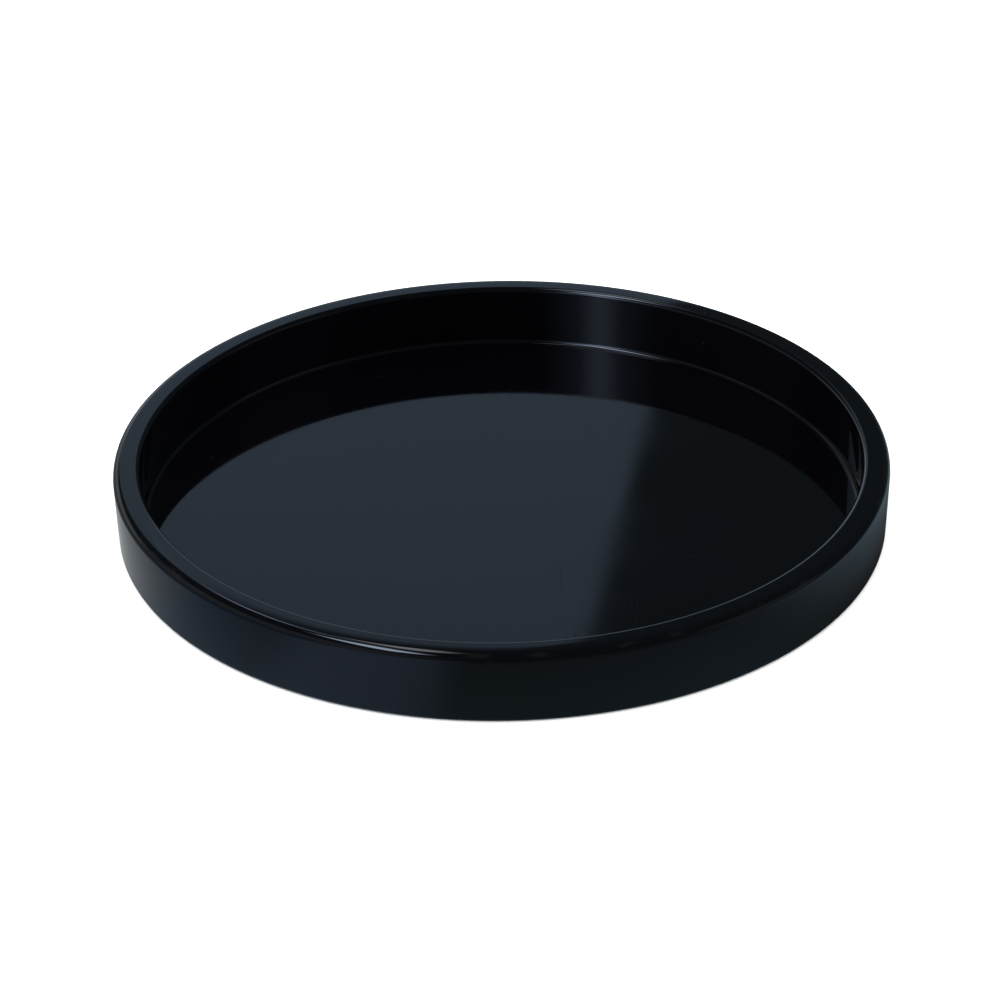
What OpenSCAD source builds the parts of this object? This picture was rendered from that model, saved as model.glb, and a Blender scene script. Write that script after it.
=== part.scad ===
// Round serving tray in black lacquered wood.
// A rim hoop of three bent plies, glued in rings, stands round a thin three-ply base board.
// The innermost ply stops at the floor, so the board is glued up into the rebate below it,
// and a cove bead closes the corner between the floor and the wall.
// Millimetres. The origin is the centre of the ring that the tray stands on, and +Z points up.

/* [Tray] */
// Outer diameter across the rim
tray_diameter = 300; // [240:10:360]
// Height from the table to the top of the rim
tray_height = 28.6; // [24:0.2:40]

/* [Rim hoop] */
// Width of the rim, measured across its top
rim_width = 10.5; // [9:0.1:13]
// Thickness of the outer bent ply
outer_ply_thickness = 3.8; // [3.7:0.1:4]
// Thickness of the middle bent ply
middle_ply_thickness = 2.6; // [1.5:0.1:2.8]
// How far the outer wall draws in from the rim to the table, on each side
outer_lean = 0.9; // [0:0.1:1.2]
// Radius of the rim's outer edge
rim_outer_round = 3.5; // [1:0.1:3.6]
// Radius of the rim's inner edge
rim_inner_round = 2; // [0.5:0.1:2.1]
// Radius of the hoop's bottom outer edge
foot_round = 1.7; // [0.5:0.1:2.4]

/* [Base board] */
// Height of the serving floor above the table
floor_height = 3.4; // [3:0.1:6]
// Thickness of the whole base board
board_thickness = 2.8; // [2:0.1:2.9]
// Thickness of the board's face ply and of its back ply
skin_thickness = 0.6; // [0.4:0.1:0.9]
// Glue gap between the board's edge and the hoop
glue_gap = 0.1; // [0.05:0.05:0.3]

/* [Corner] */
// Radius of the cove bead between the floor and the wall
cove_radius = 1.8; // [1:0.1:5]

/* [Hidden] */

lacquer_black = [0.03, 0.035, 0.045];
cove_black = [0.05, 0.055, 0.065];
underside_black = [0.08, 0.08, 0.085];
core_wood = [0.72, 0.58, 0.40];

outer_radius = tray_diameter / 2;
outer_ply_inside = outer_radius - outer_ply_thickness;
middle_ply_inside = outer_ply_inside - middle_ply_thickness;
well_radius = outer_radius - rim_width;
board_radius = middle_ply_inside - glue_gap;
board_bottom = floor_height - board_thickness;

ring_fn = 180;
edge_steps = 8;

// Points along an arc in the profile plane, from one angle to another
function arc(centre, radius, from, to) =
    [for (step = [0 : edge_steps])
        let (angle = from + (to - from) * step / edge_steps)
        centre + radius * [cos(angle), sin(angle)]];

// A ring turned from its half profile, whose points are [radius, height]
module turned(profile) {
    rotate_extrude($fn = ring_fn) polygon(profile);
}

// A round sheet of the base board
module sheet(bottom, thickness) {
    translate([0, 0, bottom]) cylinder(h = thickness, r = board_radius, $fn = ring_fn);
}

// Full-height ply with the wall's outer face and the two rounded outer edges
module rim_outer_ply() {
    foot_centre = [outer_radius - outer_lean - foot_round, foot_round];
    rim_centre = [outer_radius - rim_outer_round, tray_height - rim_outer_round];
    color(lacquer_black) turned(concat(
        [[outer_ply_inside, 0]],
        arc(foot_centre, foot_round, -90, 0),
        arc(rim_centre, rim_outer_round, 0, 90),
        [[outer_ply_inside, tray_height]]
    ));
}

// Full-height ply between the other two; the board's edge butts against it
module rim_middle_ply() {
    color(lacquer_black) turned([
        [middle_ply_inside, 0],
        [outer_ply_inside, 0],
        [outer_ply_inside, tray_height],
        [middle_ply_inside, tray_height]
    ]);
}

// Ply that stands on the board and carries the inner wall, with the rim's inner edge
module rim_inner_ply() {
    edge_centre = [well_radius + rim_inner_round, tray_height - rim_inner_round];
    color(lacquer_black) turned(concat(
        [[well_radius, floor_height], [middle_ply_inside, floor_height],
         [middle_ply_inside, tray_height]],
        arc(edge_centre, rim_inner_round, 90, 180)
    ));
}

// Filler bead in the corner, with a hollow face tangent to the floor and to the wall
module corner_cove() {
    centre = [well_radius - cove_radius, floor_height + cove_radius];
    color(cove_black) turned(concat(
        [[well_radius, floor_height]],
        arc(centre, cove_radius, 0, -90)
    ));
}

// Top sheet of the board, the serving surface
module base_face_ply() {
    color(lacquer_black) sheet(floor_height - skin_thickness, skin_thickness);
}

// Thick cross-grained sheet between the two skins
module base_core_ply() {
    color(core_wood) sheet(board_bottom + skin_thickness, board_thickness - 2 * skin_thickness);
}

// Bottom sheet of the board, set up a little from the table
module base_back_ply() {
    color(underside_black) sheet(board_bottom, skin_thickness);
}

rim_outer_ply();
rim_middle_ply();
rim_inner_ply();
corner_cove();
base_face_ply();
base_core_ply();
base_back_ply();
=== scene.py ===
"""A round serving tray in gloss black lacquer: its finished surfaces, a plain studio and a
camera."""

import math

import bmesh
import bpy
from mathutils import Matrix, Vector


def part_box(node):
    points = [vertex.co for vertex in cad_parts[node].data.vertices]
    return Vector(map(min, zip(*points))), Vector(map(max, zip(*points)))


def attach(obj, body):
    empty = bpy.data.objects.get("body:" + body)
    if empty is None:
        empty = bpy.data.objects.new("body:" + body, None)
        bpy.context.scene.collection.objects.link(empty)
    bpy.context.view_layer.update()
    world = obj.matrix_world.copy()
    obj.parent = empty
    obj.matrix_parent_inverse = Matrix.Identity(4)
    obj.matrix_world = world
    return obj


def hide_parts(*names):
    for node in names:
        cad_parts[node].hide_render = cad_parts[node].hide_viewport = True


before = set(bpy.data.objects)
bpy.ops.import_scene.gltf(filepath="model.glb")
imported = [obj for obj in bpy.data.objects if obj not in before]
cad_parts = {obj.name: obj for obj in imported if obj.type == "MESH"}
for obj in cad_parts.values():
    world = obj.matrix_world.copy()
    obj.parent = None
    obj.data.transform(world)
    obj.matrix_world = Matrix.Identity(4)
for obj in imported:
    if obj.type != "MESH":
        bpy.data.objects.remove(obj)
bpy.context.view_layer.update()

MM = 0.001
DEGREE = math.pi / 180

# Sizes of the tray, in metres, from the CAD nodes' own boxes
OUTER_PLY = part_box("rim_outer_ply")[1]
OUTER_RADIUS = OUTER_PLY.x
TRAY_HEIGHT = OUTER_PLY.z
OUTER_PLY_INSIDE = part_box("rim_middle_ply")[1].x
MIDDLE_PLY_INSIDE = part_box("rim_inner_ply")[1].x
FLOOR_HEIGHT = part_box("base_face_ply")[1].z
WELL_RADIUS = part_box("corner_cove")[1].x
BOARD_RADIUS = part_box("base_face_ply")[1].x

# The edges' own sizes, which no box gives
OUTER_LEAN = 0.9 * MM
RIM_OUTER_ROUND = 3.5 * MM
RIM_INNER_ROUND = 2 * MM
FOOT_ROUND = 1.7 * MM
COVE_RADIUS = 1.8 * MM

# The rim's top is very slightly crowned: level at the middle ply's inside, and turned out by
# this many degrees where it runs into the outer rounding
CROWN_TURN = 3
CROWN_REACH = OUTER_RADIUS - RIM_OUTER_ROUND - MIDDLE_PLY_INSIDE
CROWN_RADIUS = CROWN_REACH / math.sin(CROWN_TURN * DEGREE) + RIM_OUTER_ROUND
CROWN_CENTRE = (MIDDLE_PLY_INSIDE, TRAY_HEIGHT - CROWN_RADIUS)
# Where the crown crosses from the outer ply to the middle ply: its angle and its height
CROWN_SPLIT = math.acos((OUTER_PLY_INSIDE - MIDDLE_PLY_INSIDE) / CROWN_RADIUS) / DEGREE
SPLIT_HEIGHT = CROWN_CENTRE[1] + CROWN_RADIUS * math.sin(CROWN_SPLIT * DEGREE)

RING_STEPS = 720
ARC_STEPS = 12

# How far from the tray's middle the mirrored room's light panels stand, the card over the
# rim, the table's painted light and shade and the white tent, in metres
ROOM_REACH = 3.0
CARD_REACH = 138 * MM
PAINTED_TABLE_REACH = 0.6
TENT_REACH = 8.0


# ---------------------------------------------------------------- turned shapes

def line(start, end):
    """A straight stroke of a half profile: [(radius, height), normal] at each end.
    Profiles run anticlockwise, so the normal points to the right of the way along."""
    along = (Vector(end) - Vector(start)).normalized()
    normal = (along.y, -along.x)
    return [(start, normal), (end, normal)]


def arc(centre, radius, first, last, hollow=False):
    """A round stroke between two angles in degrees. A hollow one faces its own centre."""
    facing = -1 if hollow else 1
    stroke = []
    for step in range(ARC_STEPS + 1):
        angle = (first + (last - first) * step / ARC_STEPS) * DEGREE
        out = (math.cos(angle), math.sin(angle))
        point = (centre[0] + radius * out[0], centre[1] + radius * out[1])
        stroke.append((point, (facing * out[0], facing * out[1])))
    return stroke


def joined(*strokes):
    """One profile from its strokes, as spans of two points with their normals."""
    return [(a, b) for stroke in strokes for a, b in zip(stroke, stroke[1:])]


def turned(name, spans):
    """A mesh turned about Z from a profile. Each span keeps its own normals, so flats stay
    flat and roundings stay round however large the faces beside them are."""
    rows, row_points = {}, []
    for span in spans:
        for point, _ in span:
            key = (round(point[0], 8), round(point[1], 8))
            if key not in rows:
                rows[key] = len(row_points)
                row_points.append(point)
    angles = [2 * math.pi * step / RING_STEPS for step in range(RING_STEPS)]
    around = [(math.cos(angle), math.sin(angle)) for angle in angles]
    vertices, first_vertex = [], []
    for radius, height in row_points:
        first_vertex.append(len(vertices))
        if radius < 1e-9:
            vertices.append((0, 0, height))
        else:
            vertices += [(radius * c, radius * s, height) for c, s in around]

    def corner(row, step):
        on_axis = row_points[row][0] < 1e-9
        return first_vertex[row] + (0 if on_axis else step % RING_STEPS)

    faces, normals = [], []
    for (start, start_normal), (end, end_normal) in spans:
        low = rows[(round(start[0], 8), round(start[1], 8))]
        high = rows[(round(end[0], 8), round(end[1], 8))]
        for step in range(RING_STEPS):
            corners = [(low, step, start_normal), (low, step + 1, start_normal),
                       (high, step + 1, end_normal), (high, step, end_normal)]
            face, face_normals = [], []
            for row, turn, normal in corners:
                vertex = corner(row, turn)
                if vertex not in face:
                    c, s = around[turn % RING_STEPS]
                    face.append(vertex)
                    face_normals.append((normal[0] * c, normal[0] * s, normal[1]))
            faces.append(face)
            normals += face_normals
    mesh = bpy.data.meshes.new(name)
    mesh.from_pydata(vertices, [], faces)
    mesh.polygons.foreach_set("use_smooth", [True] * len(mesh.polygons))
    mesh.normals_split_custom_set(normals)
    return mesh


def piece(name, node, spans, material):
    """A finished surface that stands for one CAD node."""
    thing = bpy.data.objects.new(name, turned(name, spans))
    bpy.context.scene.collection.objects.link(thing)
    thing.data.materials.append(material)
    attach(thing, "root")
    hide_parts(node)
    return thing


# ---------------------------------------------------------------- materials

class Graph:
    """Adds nodes to one material. A socket is given by its name, with _ for a space, or by
    its number, such as i0. Its value is a number, a colour or another node's output."""

    def __init__(self, name):
        self.material = bpy.data.materials.new(name)
        self.material.use_nodes = True
        self.tree = self.material.node_tree
        self.tree.nodes.clear()

    def add(self, kind, settings=None, **sockets):
        node = self.tree.nodes.new("ShaderNode" + kind)
        for name, value in (settings or {}).items():
            setattr(node, name, value)
        for name, value in sockets.items():
            socket = node.inputs[int(name[1:])] if name[0] == "i" and name[1:].isdigit() \
                else node.inputs[name.replace("_", " ")]
            if isinstance(value, bpy.types.NodeSocket):
                self.tree.links.new(value, socket)
            else:
                socket.default_value = value
        return node

    def math(self, operation, a, b=0.0, clamp=False):
        node = self.add("Math", {"operation": operation, "use_clamp": clamp}, i0=a, i1=b)
        return node.outputs[0]

    def remap(self, value, low, high, new_low=0.0, new_high=1.0):
        node = self.add("MapRange", {"interpolation_type": "SMOOTHSTEP"}, Value=value,
                        From_Min=low, From_Max=high, To_Min=new_low, To_Max=new_high)
        return node.outputs["Result"]

    def blend(self, factor, a, b):
        node = self.add("Mix", {"data_type": "RGBA"}, Factor=factor)
        for socket, value in ((node.inputs[6], a), (node.inputs[7], b)):
            if isinstance(value, bpy.types.NodeSocket):
                self.tree.links.new(value, socket)
            else:
                socket.default_value = value
        return node.outputs[2]

    def object_place(self):
        return self.add("TexCoord").outputs["Object"]

    def stretched(self, place, turn, scale):
        node = self.add("Mapping", None, Vector=place, Rotation=turn, Scale=scale)
        return node.outputs["Vector"]

    def noise(self, place, scale, detail=2.0, roughness=0.5):
        node = self.add("TexNoise", None, Vector=place, Scale=scale, Detail=detail,
                        Roughness=roughness)
        return node.outputs["Fac"]

    def finish(self, shader):
        output = self.add("OutputMaterial")
        self.tree.links.new(shader.outputs[0], output.inputs["Surface"])
        return self.material


def hairlines(graph, place, turn):
    """A sparse mask of fine straight scratches that all run one way."""
    strands = graph.noise(graph.stretched(place, turn, (2600, 18, 18)), 1.0, 1.0)
    patches = graph.noise(graph.stretched(place, turn, (26, 9, 26)), 1.0, 2.0)
    return graph.math("MULTIPLY", graph.remap(strands, 0.70, 0.76),
                      graph.remap(patches, 0.52, 0.62))


def black_lacquer(name):
    """Sprayed and polished black urethane: a near-perfect mirror with orange peel, hairlines,
    specks of settled dust, and a little of the gloss gone along the rim's edges."""
    graph = Graph(name)
    place = graph.object_place()

    scratches = graph.math("MAXIMUM", hairlines(graph, place, (0, 0, 0.5)),
                           hairlines(graph, place, (0, 0, 2.1)))
    scratches = graph.math("MAXIMUM", scratches, hairlines(graph, place, (0.3, 0, 3.6)))

    cells = graph.add("TexVoronoi", None, Vector=place, Scale=260.0)
    speck_size = graph.remap(cells.outputs["Distance"], 0.035, 0.06, 1.0, 0.0)
    chosen = graph.add("SeparateColor", None, Color=cells.outputs["Color"]).outputs[0]
    specks = graph.math("MULTIPLY", speck_size, graph.math("GREATER_THAN", chosen, 0.9))

    spot = graph.add("SeparateXYZ", None, Vector=place)
    across, along, height = spot.outputs["X"], spot.outputs["Y"], spot.outputs["Z"]
    radius = graph.math("SQRT", graph.math("ADD", graph.math("MULTIPLY", across, across),
                                           graph.math("MULTIPLY", along, along)))
    near_top = graph.remap(height, TRAY_HEIGHT - 2.2 * MM, TRAY_HEIGHT - 0.4 * MM)
    near_edge = graph.remap(radius, OUTER_RADIUS - 2.6 * MM, OUTER_RADIUS - 0.9 * MM)
    near_foot = graph.remap(height, 0.2 * MM, 1.6 * MM, 1.0, 0.0)
    edge = graph.math("MAXIMUM", graph.math("MULTIPLY", near_top, near_edge), near_foot)
    broken = graph.remap(graph.noise(place, 90.0, 4.0, 0.65), 0.5, 0.66)
    wear = graph.math("MULTIPLY", edge, broken)

    handling = graph.noise(place, 14.0, 3.0)
    roughness = graph.remap(handling, 0.35, 0.7, 0.035, 0.07)
    roughness = graph.math("ADD", roughness, graph.math("MULTIPLY", scratches, 0.10))
    roughness = graph.math("ADD", roughness, graph.math("MULTIPLY", wear, 0.07))
    roughness = graph.math("ADD", roughness, graph.math("MULTIPLY", specks, 0.35))

    tone = graph.blend(graph.remap(graph.noise(place, 9.0, 2.0), 0.3, 0.7),
                       (0.0004, 0.0003, 0.0006, 1), (0.0006, 0.0005, 0.0010, 1))
    tone = graph.blend(graph.math("MULTIPLY", wear, 0.5), tone, (0.006, 0.0055, 0.005, 1))
    tone = graph.blend(graph.math("MULTIPLY", specks, 0.5), tone, (0.03, 0.03, 0.029, 1))

    peel = graph.add("Bump", None, Strength=1.0, Distance=0.9e-6,
                     Height=graph.noise(place, 330.0, 2.0))
    sag = graph.add("Bump", None, Strength=1.0, Distance=6e-6,
                    Height=graph.noise(place, 26.0, 1.0), Normal=peel.outputs[0])
    cuts = graph.add("Bump", {"invert": True}, Strength=1.0, Distance=1.5e-6,
                     Height=scratches, Normal=sag.outputs[0])
    shader = graph.add("BsdfPrincipled", None, Base_Color=tone, Roughness=roughness,
                       IOR=1.5, Normal=cuts.outputs[0])
    return graph.finish(shader)


def satin_underside(name):
    """Thin black lacquer over the back ply, so the grain still shows in its surface."""
    graph = Graph(name)
    place = graph.object_place()
    grain_turn = (0, 0, 0.12)
    grain = graph.noise(graph.stretched(place, grain_turn, (6, 260, 260)), 1.0, 5.0, 0.6)
    pores = graph.noise(graph.stretched(place, grain_turn, (90, 2400, 2400)), 1.0, 2.0)
    pores = graph.remap(pores, 0.62, 0.72)
    rubbed = graph.remap(graph.noise(place, 22.0, 4.0, 0.6), 0.45, 0.7)
    tone = graph.blend(grain, (0.006, 0.006, 0.0065, 1), (0.013, 0.0125, 0.012, 1))
    tone = graph.blend(graph.math("MULTIPLY", pores, 0.6), tone, (0.003, 0.003, 0.003, 1))
    roughness = graph.math("ADD", graph.remap(grain, 0.3, 0.7, 0.30, 0.42),
                           graph.math("MULTIPLY", rubbed, 0.12))
    ridges = graph.add("Bump", None, Strength=0.8, Distance=0.03 * MM, Height=grain)
    pits = graph.add("Bump", {"invert": True}, Strength=0.7, Distance=0.05 * MM, Height=pores,
                     Normal=ridges.outputs[0])
    shader = graph.add("BsdfPrincipled", None, Base_Color=tone, Roughness=roughness,
                       IOR=1.5, Normal=pits.outputs[0])
    return graph.finish(shader)


def bare_wood(name):
    """Unfinished pale core wood, with its grain across the skins' grain."""
    graph = Graph(name)
    place = graph.object_place()
    grain_turn = (0, 0, 1.6)
    bands = graph.noise(graph.stretched(place, grain_turn, (3, 120, 120)), 1.0, 6.0, 0.62)
    fibres = graph.noise(graph.stretched(place, grain_turn, (60, 3000, 3000)), 1.0, 2.0)
    tone = graph.blend(bands, (0.62, 0.45, 0.27, 1), (0.78, 0.64, 0.44, 1))
    tone = graph.blend(graph.remap(fibres, 0.6, 0.75, 0.0, 0.35), tone, (0.40, 0.27, 0.15, 1))
    relief = graph.add("Bump", None, Strength=0.5, Distance=0.06 * MM, Height=fibres)
    shader = graph.add("BsdfPrincipled", None, Base_Color=tone,
                       Roughness=graph.remap(bands, 0.3, 0.7, 0.62, 0.8),
                       IOR=1.45, Normal=relief.outputs[0])
    return graph.finish(shader)


# ---------------------------------------------------------------- the tray

def rim_outer_ply(material):
    """The wall's outer face, both outer roundings and the outer part of the rim's top."""
    foot = (OUTER_RADIUS - OUTER_LEAN - FOOT_ROUND, FOOT_ROUND)
    below = (CROWN_RADIUS - RIM_OUTER_ROUND) * math.cos(CROWN_TURN * DEGREE)
    top = (OUTER_RADIUS - RIM_OUTER_ROUND, CROWN_CENTRE[1] + below)
    outline = joined(
        line((OUTER_PLY_INSIDE, 0), (foot[0], 0)),
        arc(foot, FOOT_ROUND, -90, 0),
        line((foot[0] + FOOT_ROUND, foot[1]), (OUTER_RADIUS, top[1])),
        arc(top, RIM_OUTER_ROUND, 0, 90 - CROWN_TURN),
        arc(CROWN_CENTRE, CROWN_RADIUS, 90 - CROWN_TURN, CROWN_SPLIT),
        line((OUTER_PLY_INSIDE, SPLIT_HEIGHT), (OUTER_PLY_INSIDE, 0)),
    )
    return piece("outer_ply", "rim_outer_ply", outline, material)


def rim_middle_ply(material):
    """The middle of the rim's top; the rest of this ply is hidden."""
    outline = joined(
        line((MIDDLE_PLY_INSIDE, 0), (OUTER_PLY_INSIDE, 0)),
        line((OUTER_PLY_INSIDE, 0), (OUTER_PLY_INSIDE, SPLIT_HEIGHT)),
        arc(CROWN_CENTRE, CROWN_RADIUS, CROWN_SPLIT, 90),
        line((MIDDLE_PLY_INSIDE, TRAY_HEIGHT), (MIDDLE_PLY_INSIDE, 0)),
    )
    return piece("middle_ply", "rim_middle_ply", outline, material)


def rim_inner_ply(material):
    """The well's wall, its rounded top edge and the inner part of the rim's top."""
    edge = (WELL_RADIUS + RIM_INNER_ROUND, TRAY_HEIGHT - RIM_INNER_ROUND)
    outline = joined(
        line((WELL_RADIUS, FLOOR_HEIGHT), (MIDDLE_PLY_INSIDE, FLOOR_HEIGHT)),
        line((MIDDLE_PLY_INSIDE, FLOOR_HEIGHT), (MIDDLE_PLY_INSIDE, TRAY_HEIGHT)),
        line((MIDDLE_PLY_INSIDE, TRAY_HEIGHT), (edge[0], TRAY_HEIGHT)),
        arc(edge, RIM_INNER_ROUND, 90, 180),
        line((WELL_RADIUS, edge[1]), (WELL_RADIUS, FLOOR_HEIGHT)),
    )
    return piece("inner_ply", "rim_inner_ply", outline, material)


def corner_cove(material):
    """The hollow bead between the floor and the wall."""
    centre = (WELL_RADIUS - COVE_RADIUS, FLOOR_HEIGHT + COVE_RADIUS)
    hollow = arc(centre, COVE_RADIUS, 0, -90, hollow=True)
    corner = (WELL_RADIUS, FLOOR_HEIGHT)
    outline = joined(line(corner, hollow[0][0]), hollow, line(hollow[-1][0], corner))
    return piece("cove", "corner_cove", outline, material)


def sheet(name, node, material):
    """One round ply of the base board, between its CAD node's own heights."""
    low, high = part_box(node)
    outline = joined(
        line((0, low.z), (BOARD_RADIUS, low.z)),
        line((BOARD_RADIUS, low.z), (BOARD_RADIUS, high.z)),
        line((BOARD_RADIUS, high.z), (0, high.z)),
    )
    return piece(name, node, outline, material)


# ---------------------------------------------------------------- studio and camera

def glowing(name, colour, feather):
    """A light panel's material, which fades to nothing at the panel's edges. Light that comes
    from behind it passes through, so panels that overlap add up."""
    graph = Graph(name)
    spot = graph.add("SeparateXYZ", None, Vector=graph.add("TexCoord").outputs["UV"])
    fade = None
    for axis, width in (("X", feather[0]), ("Y", feather[1])):
        middle = graph.math("ABSOLUTE", graph.math("SUBTRACT", spot.outputs[axis], 0.5))
        inside = graph.remap(middle, 0.5 - width, 0.5, 1.0, 0.0)
        fade = inside if fade is None else graph.math("MULTIPLY", fade, inside)
    glow = graph.add("Emission", None, Color=(*colour, 1), Strength=fade)
    clear = graph.add("BsdfTransparent")
    return graph.finish(graph.add("AddShader", None, i0=glow.outputs[0], i1=clear.outputs[0]))


def mirrored_sheet(name, steps, place, colour, feather):
    """A light panel that shows only in reflections. place(u, v) says where each point of the
    panel's unit square lies."""
    spots = [(column / steps, row / steps) for row in range(steps + 1)
             for column in range(steps + 1)]
    faces = []
    for row in range(steps):
        for column in range(steps):
            first = row * (steps + 1) + column
            faces.append((first, first + 1, first + steps + 2, first + steps + 1))
    mesh = bpy.data.meshes.new(name)
    mesh.from_pydata([place(u, v) for u, v in spots], [], faces)
    layer = mesh.uv_layers.new(name="UVMap")
    for loop in mesh.loops:
        layer.data[loop.index].uv = spots[loop.vertex_index]
    mesh.materials.append(glowing(name, colour, feather))
    thing = bpy.data.objects.new(name, mesh)
    bpy.context.scene.collection.objects.link(thing)
    thing.visible_camera = False
    thing.visible_diffuse = False
    thing.visible_shadow = False


def panel(name, sides, heights, colour, feather, lean=0.0):
    """A panel on a dome of ROOM_REACH round the tray, between two azimuths and two elevations
    in degrees. Azimuth 0 is the camera's side and 90 the right; lean moves the panel's second
    side by that many degrees for each degree of height."""
    def place(u, v):
        rise = (heights[1] - heights[0]) * v
        elevation = (heights[0] + rise) * DEGREE
        azimuth = (sides[0] + (sides[1] + lean * rise - sides[0]) * u) * DEGREE
        flat = ROOM_REACH * math.cos(elevation)
        return (flat * math.sin(azimuth), -flat * math.cos(azimuth),
                ROOM_REACH * math.sin(elevation))

    mirrored_sheet(name, 12, place, colour, feather)


def ceiling_panel(name, across, along, colour, feather):
    """A flat panel overhead, between two distances to the right and two to the back."""
    def place(u, v):
        return (across[0] + (across[1] - across[0]) * u,
                along[0] + (along[1] - along[0]) * v, ROOM_REACH)

    mirrored_sheet(name, 1, place, colour, feather)


def card(name, sides, heights, colour, feather):
    """A small curved card that stands over the rim, between two azimuths and two heights."""
    def place(u, v):
        azimuth = (sides[0] + (sides[1] - sides[0]) * u) * DEGREE
        return (CARD_REACH * math.sin(azimuth), -CARD_REACH * math.cos(azimuth),
                heights[0] + (heights[1] - heights[0]) * v)

    mirrored_sheet(name, 12, place, colour, feather)


def table_ring(name, reach, height, material):
    """A flat sheet round the tray's foot. It's open underneath the tray, so the underside
    stays lit and in view."""
    foot = OUTER_RADIUS - OUTER_LEAN - FOOT_ROUND
    thing = bpy.data.objects.new(name, turned(name, joined(line((reach, height), (foot, height)))))
    bpy.context.scene.collection.objects.link(thing)
    thing.data.materials.append(material)
    return thing


def pale_floor():
    """The studio floor: pale and matt. From below it is clear, so the underside can be seen."""
    graph = Graph("pale_floor")
    mottle = graph.remap(graph.noise(graph.object_place(), 30.0, 3.0), 0.3, 0.7)
    tone = graph.blend(mottle, (0.86, 0.86, 0.86, 1), (0.88, 0.88, 0.88, 1))
    matt = graph.add("BsdfDiffuse", None, Color=tone)
    clear = graph.add("BsdfTransparent")
    below = graph.add("NewGeometry").outputs["Backfacing"]
    mixed = graph.add("MixShader", None, i0=below, i1=matt.outputs[0], i2=clear.outputs[0])
    floor = table_ring("studio_floor", TENT_REACH, 0, graph.finish(mixed))
    floor.visible_glossy = False
    return floor


def table_light_and_shade():
    """What the tray's outside mirrors round its foot: a glowing sheet with a dim table's light and
    shade painted in. It is bluish in front on the left and pale by the foot on the left, a painted
    pool of light. On the right it is black by the foot, a painted shadow of the tray, and pale a
    few fingers away. It shows only in reflections."""
    graph = Graph("table_light_and_shade")
    place = graph.object_place()
    outward = graph.add("VectorMath", {"operation": "NORMALIZE"}, i0=place).outputs["Vector"]
    radius = graph.add("VectorMath", {"operation": "LENGTH"}, i0=place).outputs["Value"]
    away = graph.add("MapRange", None, Value=radius, From_Min=OUTER_RADIUS,
                     From_Max=OUTER_RADIUS + 45 * MM).outputs["Result"]
    near = graph.math("SUBTRACT", 1.0, away)

    def towards(azimuth, spread, reach=1.0):
        """The reach given in one direction from the tray's middle, falling to 0 at spread
        degrees from it."""
        middle = (math.sin(azimuth * DEGREE), -math.cos(azimuth * DEGREE), 0)
        turn = graph.add("VectorMath", {"operation": "DOT_PRODUCT"}, i0=outward, i1=middle)
        share = graph.remap(turn.outputs["Value"], math.cos(spread * DEGREE), 1.0)
        return graph.math("MULTIPLY", share, reach)

    # Each tone runs from the one by the foot to the one a few fingers away: the table's light and
    # shade, painted in
    front = graph.blend(away, (0.11, 0.18, 0.21, 1), (0.08, 0.11, 0.12, 1))
    back = graph.blend(away, (0.10, 0.12, 0.13, 1), (0.20, 0.23, 0.24, 1))
    bluish = graph.blend(away, (0.20, 0.27, 0.36, 1), (0.10, 0.15, 0.22, 1))
    tone = graph.blend(towards(170, 120), front, back)
    tone = graph.blend(towards(-52, 46), tone, bluish)
    # Painted light: by the foot on the left the table is lit pale
    tone = graph.blend(towards(-102, 50, near), tone, (0.45, 0.47, 0.47, 1))
    tone = graph.blend(towards(-24, 18), tone, (0.26, 0.35, 0.50, 1))
    # Painted shadow: by the foot on the right the table lies in the tray's shadow, so the sheet is
    # black there
    tone = graph.blend(towards(85, 55, near), tone, (0.03, 0.03, 0.03, 1))
    tone = graph.blend(towards(95, 55, away), tone, (0.26, 0.36, 0.44, 1))
    glow = graph.add("Emission", None, Color=tone, Strength=1.0)
    plane = table_ring("table_light_and_shade", PAINTED_TABLE_REACH, -0.2 * MM, graph.finish(glow))
    plane.visible_camera = False
    plane.visible_diffuse = False
    plane.visible_shadow = False


def backdrop():
    """A plain white tent round the whole set: it lights every side softly and stands behind
    the tray in every view, and the gloss doesn't mirror it."""
    graph = Graph("white_tent")
    glow = graph.add("Emission", None, Color=(1, 1, 1, 1), Strength=2.0)
    mesh = bpy.data.meshes.new("backdrop")
    shell = bmesh.new()
    bmesh.ops.create_icosphere(shell, subdivisions=4, radius=TENT_REACH)
    shell.to_mesh(mesh)
    shell.free()
    mesh.materials.append(graph.finish(glow))
    tent = bpy.data.objects.new("backdrop", mesh)
    bpy.context.scene.collection.objects.link(tent)
    tent.visible_glossy = False


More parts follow.
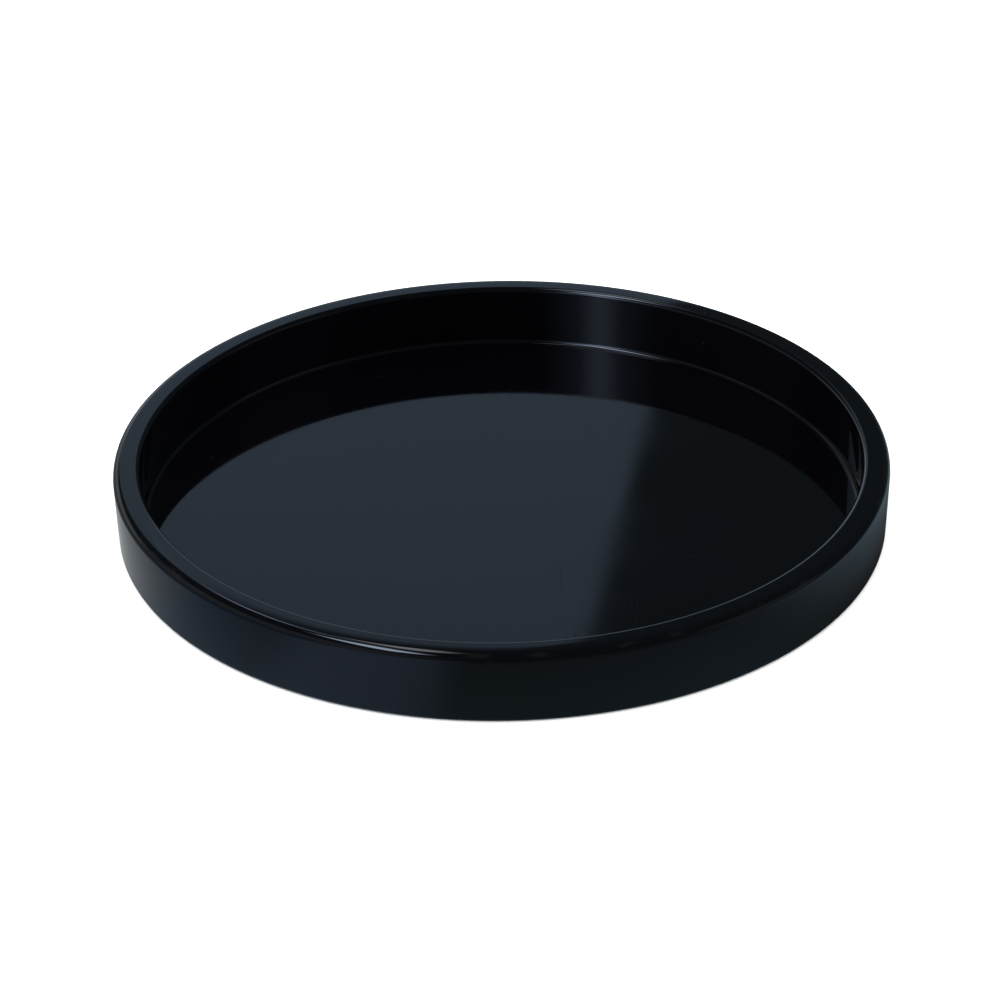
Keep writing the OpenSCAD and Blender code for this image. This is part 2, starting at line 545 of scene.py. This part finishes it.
def room():
    """What the gloss mirrors instead: a dim room with a lit wall behind the tray, two lamps
    overhead, and something pale standing by the front left of the rim."""
    world = bpy.data.worlds.new("studio_world")
    bpy.context.scene.world = world
    world.use_nodes = True
    world.node_tree.nodes["Background"].inputs["Color"].default_value = (0.037, 0.055, 0.06, 1)
    panel("back_wall", (204, 167.6), (0, 40), (0.2, 0.27, 0.37), (0.02, 0.2), lean=0.3)
    panel("wall_left", (-190, -110), (-3, 23), (0.4, 0.4, 0.4), (0.2, 0.3))
    panel("wall_front_left", (-128, -8), (-6, 36), (0.17, 0.18, 0.22), (0.25, 0.25))
    panel("wall_right", (48, 104), (-4, 36), (0.12, 0.13, 0.15), (0.3, 0.3))
    ceiling_panel("lamp_left", (-1.95, -0.85), (-2.6, 0.15), (5.8, 7.0, 8.7), (0.4, 0.25))
    ceiling_panel("lamp_middle", (-0.75, -0.2), (-0.3, 2.4), (2.6, 2.7, 2.9), (0.4, 0.25))
    card("card", (-83, -16), (0.035, 0.22), (0.8, 1.1, 1.5), (0.5, 0.2))
    card("card_core", (-62, -37), (0.035, 0.22), (1.8, 2.1, 2.9), (0.5, 0.2))


def studio():
    """The visible set, the mirrored room and one soft light from above."""
    pale_floor()
    table_light_and_shade()
    backdrop()
    room()
    light = bpy.data.lights.new("ceiling_light", "AREA")
    light.shape = "DISK"
    light.size = 3.0
    light.energy = 40
    ceiling = bpy.data.objects.new("ceiling_light", light)
    ceiling.location = (-0.5, 0.2, 2.5)
    ceiling.rotation_euler = (Vector(ceiling.location)).to_track_quat("Z", "Y").to_euler()
    ceiling.visible_glossy = False
    bpy.context.scene.collection.objects.link(ceiling)


def camera():
    """The photograph's view: from in front, about 30 degrees up, and a little tilted."""
    elevation, roll = 29.7 * DEGREE, -0.88 * DEGREE
    distance, lift, shift = 1.488, 5.55 * MM, -0.78 * MM
    forward = Vector((0, math.cos(elevation), -math.sin(elevation)))
    right = Vector((1, 0, 0))
    up = right.cross(forward)
    data = bpy.data.cameras.new("camera")
    data.sensor_width = 36
    data.lens = 137.15
    thing = bpy.data.objects.new("camera", data)
    axes = Matrix((right, up, -forward)).transposed().to_4x4()
    place = -distance * forward + lift * up + shift * right
    thing.matrix_world = Matrix.Translation(place) @ axes @ Matrix.Rotation(roll, 4, "Z")
    bpy.context.scene.collection.objects.link(thing)
    bpy.context.scene.camera = thing


lacquer = black_lacquer("black_lacquer")
rim_outer_ply(lacquer)
rim_middle_ply(lacquer)
rim_inner_ply(lacquer)
corner_cove(lacquer)
sheet("face_ply", "base_face_ply", lacquer)
sheet("back_ply", "base_back_ply", satin_underside("satin_underside"))
sheet("core_ply", "base_core_ply", bare_wood("bare_wood"))
studio()
camera()
bpy.context.scene.view_settings.view_transform = "Standard"
